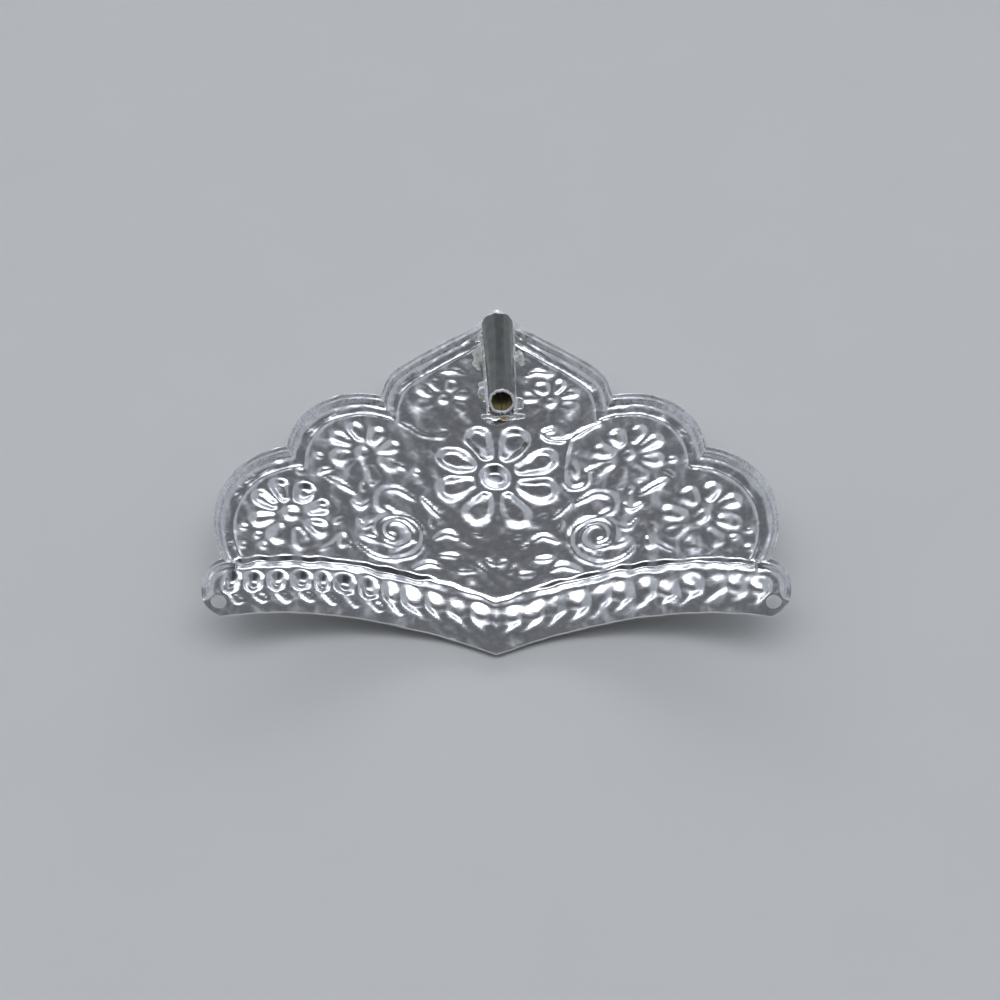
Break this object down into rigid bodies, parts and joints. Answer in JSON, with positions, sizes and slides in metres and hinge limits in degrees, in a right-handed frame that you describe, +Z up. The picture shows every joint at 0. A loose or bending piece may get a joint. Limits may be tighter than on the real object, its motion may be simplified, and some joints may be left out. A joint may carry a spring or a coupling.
{
  "type": "deity crown",
  "caption": "Pressed silver crown for a small deity figure: stepped lobed points, flowers and scrolls, a fluted brow band, tie holes and a plume tube on its back.",
  "frame": {"origin": "on the surface that the crown lies on, under the middle of its box", "axes": "+X to the right along the brow band, +Y from the brow edge to the tip, +Z up out of the hollow back"},
  "size_m": [0.0702, 0.0548, 0.0107],
  "materials": {
    "pressed_silver": "polished silver, lightly tarnished in the hollows",
    "rolled_silver": "dull unpolished silver, stained brown in the bore"
  },
  "bodies": {
    "root": {"crown_plate": "pressed_silver", "plume_tube": "rolled_silver"}
  },
  "joints": []
}
